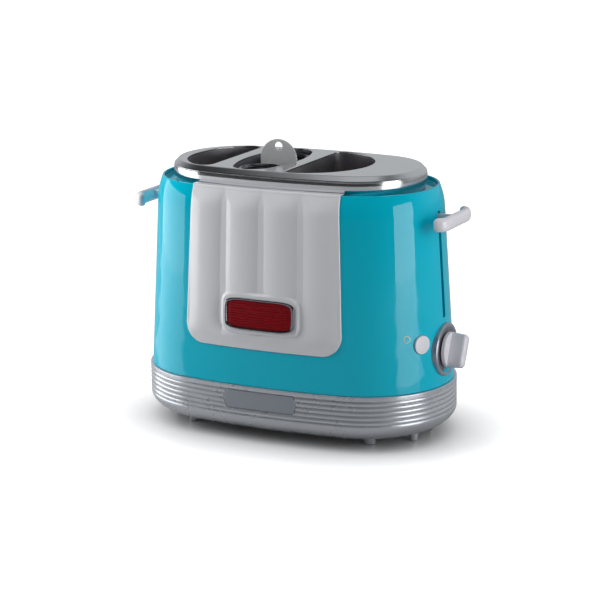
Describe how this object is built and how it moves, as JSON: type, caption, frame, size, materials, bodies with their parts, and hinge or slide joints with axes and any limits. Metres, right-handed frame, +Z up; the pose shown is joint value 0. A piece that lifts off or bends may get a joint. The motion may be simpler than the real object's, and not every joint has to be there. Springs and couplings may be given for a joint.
{
  "type": "hot dog toaster",
  "caption": "Pop-up toaster for hot dogs and buns with a ribbed base, fluted panels, a chrome top, a lift-out basket, side levers, a timer knob and a stop button.",
  "frame": {"origin": "on the floor, under the middle of the base", "axes": "+Z up, +X towards the end with the knob, -Y towards the front"},
  "size_m": [0.308, 0.165, 0.2508],
  "materials": {
    "base_silver": "satin metallic silver lacquer on moulded plastic",
    "plate_silver": "smooth metallic silver",
    "rubber_pad": "matt",
    "teal_gloss": "high gloss teal",
    "white_gloss": "gloss white",
    "dark_chrome": "dark polished",
    "badge_red": "gloss deep red",
    "chrome_plate": "polished",
    "sheet_steel": "satin galvanised",
    "steel": "drawn wire",
    "spring_steel": "oiled spring wire",
    "satin_tab": "satin",
    "tray_steel": "satin",
    "mica": "matt mineral board",
    "heater_ribbon": "oxidised ribbon",
    "copper_coil": "enamelled winding",
    "black_plastic": "matt black",
    "green_board": "solder mask"
  },
  "bodies": {
    "housing": {"base_shell": "base_silver", "feet": "base_silver", "foot_pads": "rubber_pad", "nameplate": "plate_silver", "body_shell": "teal_gloss", "front_panel": "white_gloss", "rear_panel": "white_gloss", "badge_frame": "dark_chrome", "badge_insert": "badge_red", "top_plate": "chrome_plate", "chassis_bottom": "sheet_steel", "chassis_top": "sheet_steel", "chamber_liner": "sheet_steel", "mica_board_1": "mica", "mica_board_2": "mica", "mica_board_3": "mica", "mica_board_4": "mica", "heating_wire_1": "heater_ribbon", "heating_wire_2": "heater_ribbon", "heating_wire_3": "heater_ribbon", "heating_wire_4": "heater_ribbon", "bun_guides": "steel", "guide_rods": "steel", "return_springs": "spring_steel", "latch_magnet": "copper_coil", "magnet_bracket": "sheet_steel", "basket_rest": "sheet_steel", "timer_body": "black_plastic", "knob_bezel": "plate_silver", "control_board": "green_board", "board_bracket": "sheet_steel", "button_switch": "black_plastic", "button_bracket": "sheet_steel", "cord_gland": "black_plastic", "chassis_screws": "steel", "board_screws": "steel"},
    "carriage": {"carriage_frame": "sheet_steel", "bun_platform_left": "sheet_steel", "bun_platform_right": "sheet_steel", "lever_left": "white_gloss", "lever_right": "white_gloss", "latch_armature": "steel"},
    "basket": {"basket_rings": "dark_chrome", "basket_tab": "satin_tab", "basket_cage_front": "steel", "basket_cage_rear": "steel"},
    "knob": {"timer_knob": "white_gloss", "timer_shaft": "steel"},
    "button": {"stop_button": "white_gloss"},
    "tray": {"crumb_tray": "tray_steel"}
  },
  "joints": [
    {"name": "carriage_slide", "type": "slide", "parent": "housing", "child": "carriage", "axis": [0, 0, -1], "range_m": [0, 0.08], "stiffness_N_per_m": 60, "springref_m": -0.12, "deforming": ["return_springs"]},
    {"name": "basket_lift", "type": "slide", "parent": "housing", "child": "basket", "axis": [0, 0, 1], "range_m": [0, 0.17]},
    {"name": "timer_knob_turn", "type": "hinge", "parent": "housing", "child": "knob", "pos_m": [0.145, 0, 0.079], "axis": [1, 0, 0], "range_deg": [-110, 160]},
    {"name": "stop_button_push", "type": "slide", "parent": "housing", "child": "button", "axis": [-0.8942, 0.4478, 0], "range_m": [0, 0.002], "stiffness_N_per_m": 400, "springref_m": -0.003},
    {"name": "crumb_tray_slide", "type": "slide", "parent": "housing", "child": "tray", "axis": [0, 1, 0], "range_m": [0, 0.12]}
  ]
}
